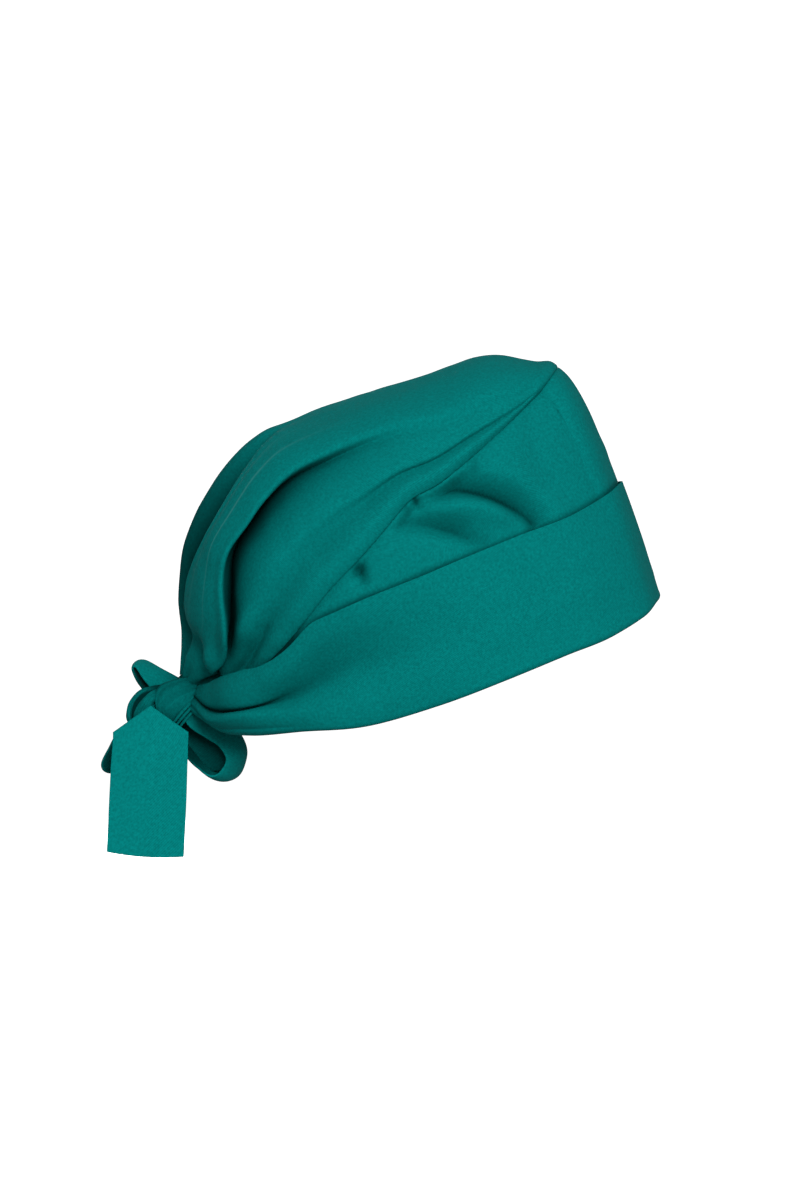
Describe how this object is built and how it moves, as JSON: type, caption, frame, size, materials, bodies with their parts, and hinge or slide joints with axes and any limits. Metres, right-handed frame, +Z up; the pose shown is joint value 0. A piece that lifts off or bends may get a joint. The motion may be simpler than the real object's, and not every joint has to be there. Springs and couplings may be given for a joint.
{
  "type": "scrub cap",
  "caption": "Tie-back cloth surgical cap with a gathered crown, a turned-up cuff and ties knotted at the nape, in the shape it has on a head.",
  "frame": {"origin": "middle of the head opening, level with the middle of the rim between forehead and nape: the place of the head that holds the cap", "axes": "+X to the forehead, +Y to the wearer's left, +Z up along the head"},
  "size_m": [0.2637, 0.169, 0.2341],
  "materials": {
    "crown_cloth": "matt fine twill of cotton and polyester, dyed teal, with a slight satin sheen",
    "side_cloth": "matt fine twill of cotton and polyester, dyed teal, with a slight satin sheen",
    "cuff_cloth": "matt fine twill of cotton and polyester, dyed teal, with a slight satin sheen",
    "tie_cloth": "matt fine twill of cotton and polyester, dyed teal, with a slight satin sheen"
  },
  "bodies": {
    "root": {"crown_panel": "crown_cloth", "side_panel": "side_cloth", "cuff": "cuff_cloth", "knot": "tie_cloth", "knot_wrap": "tie_cloth", "tie_tail": "tie_cloth", "tie_loop_front": "tie_cloth", "tie_loop_back": "tie_cloth", "tie_loop_top": "tie_cloth"}
  },
  "joints": []
}
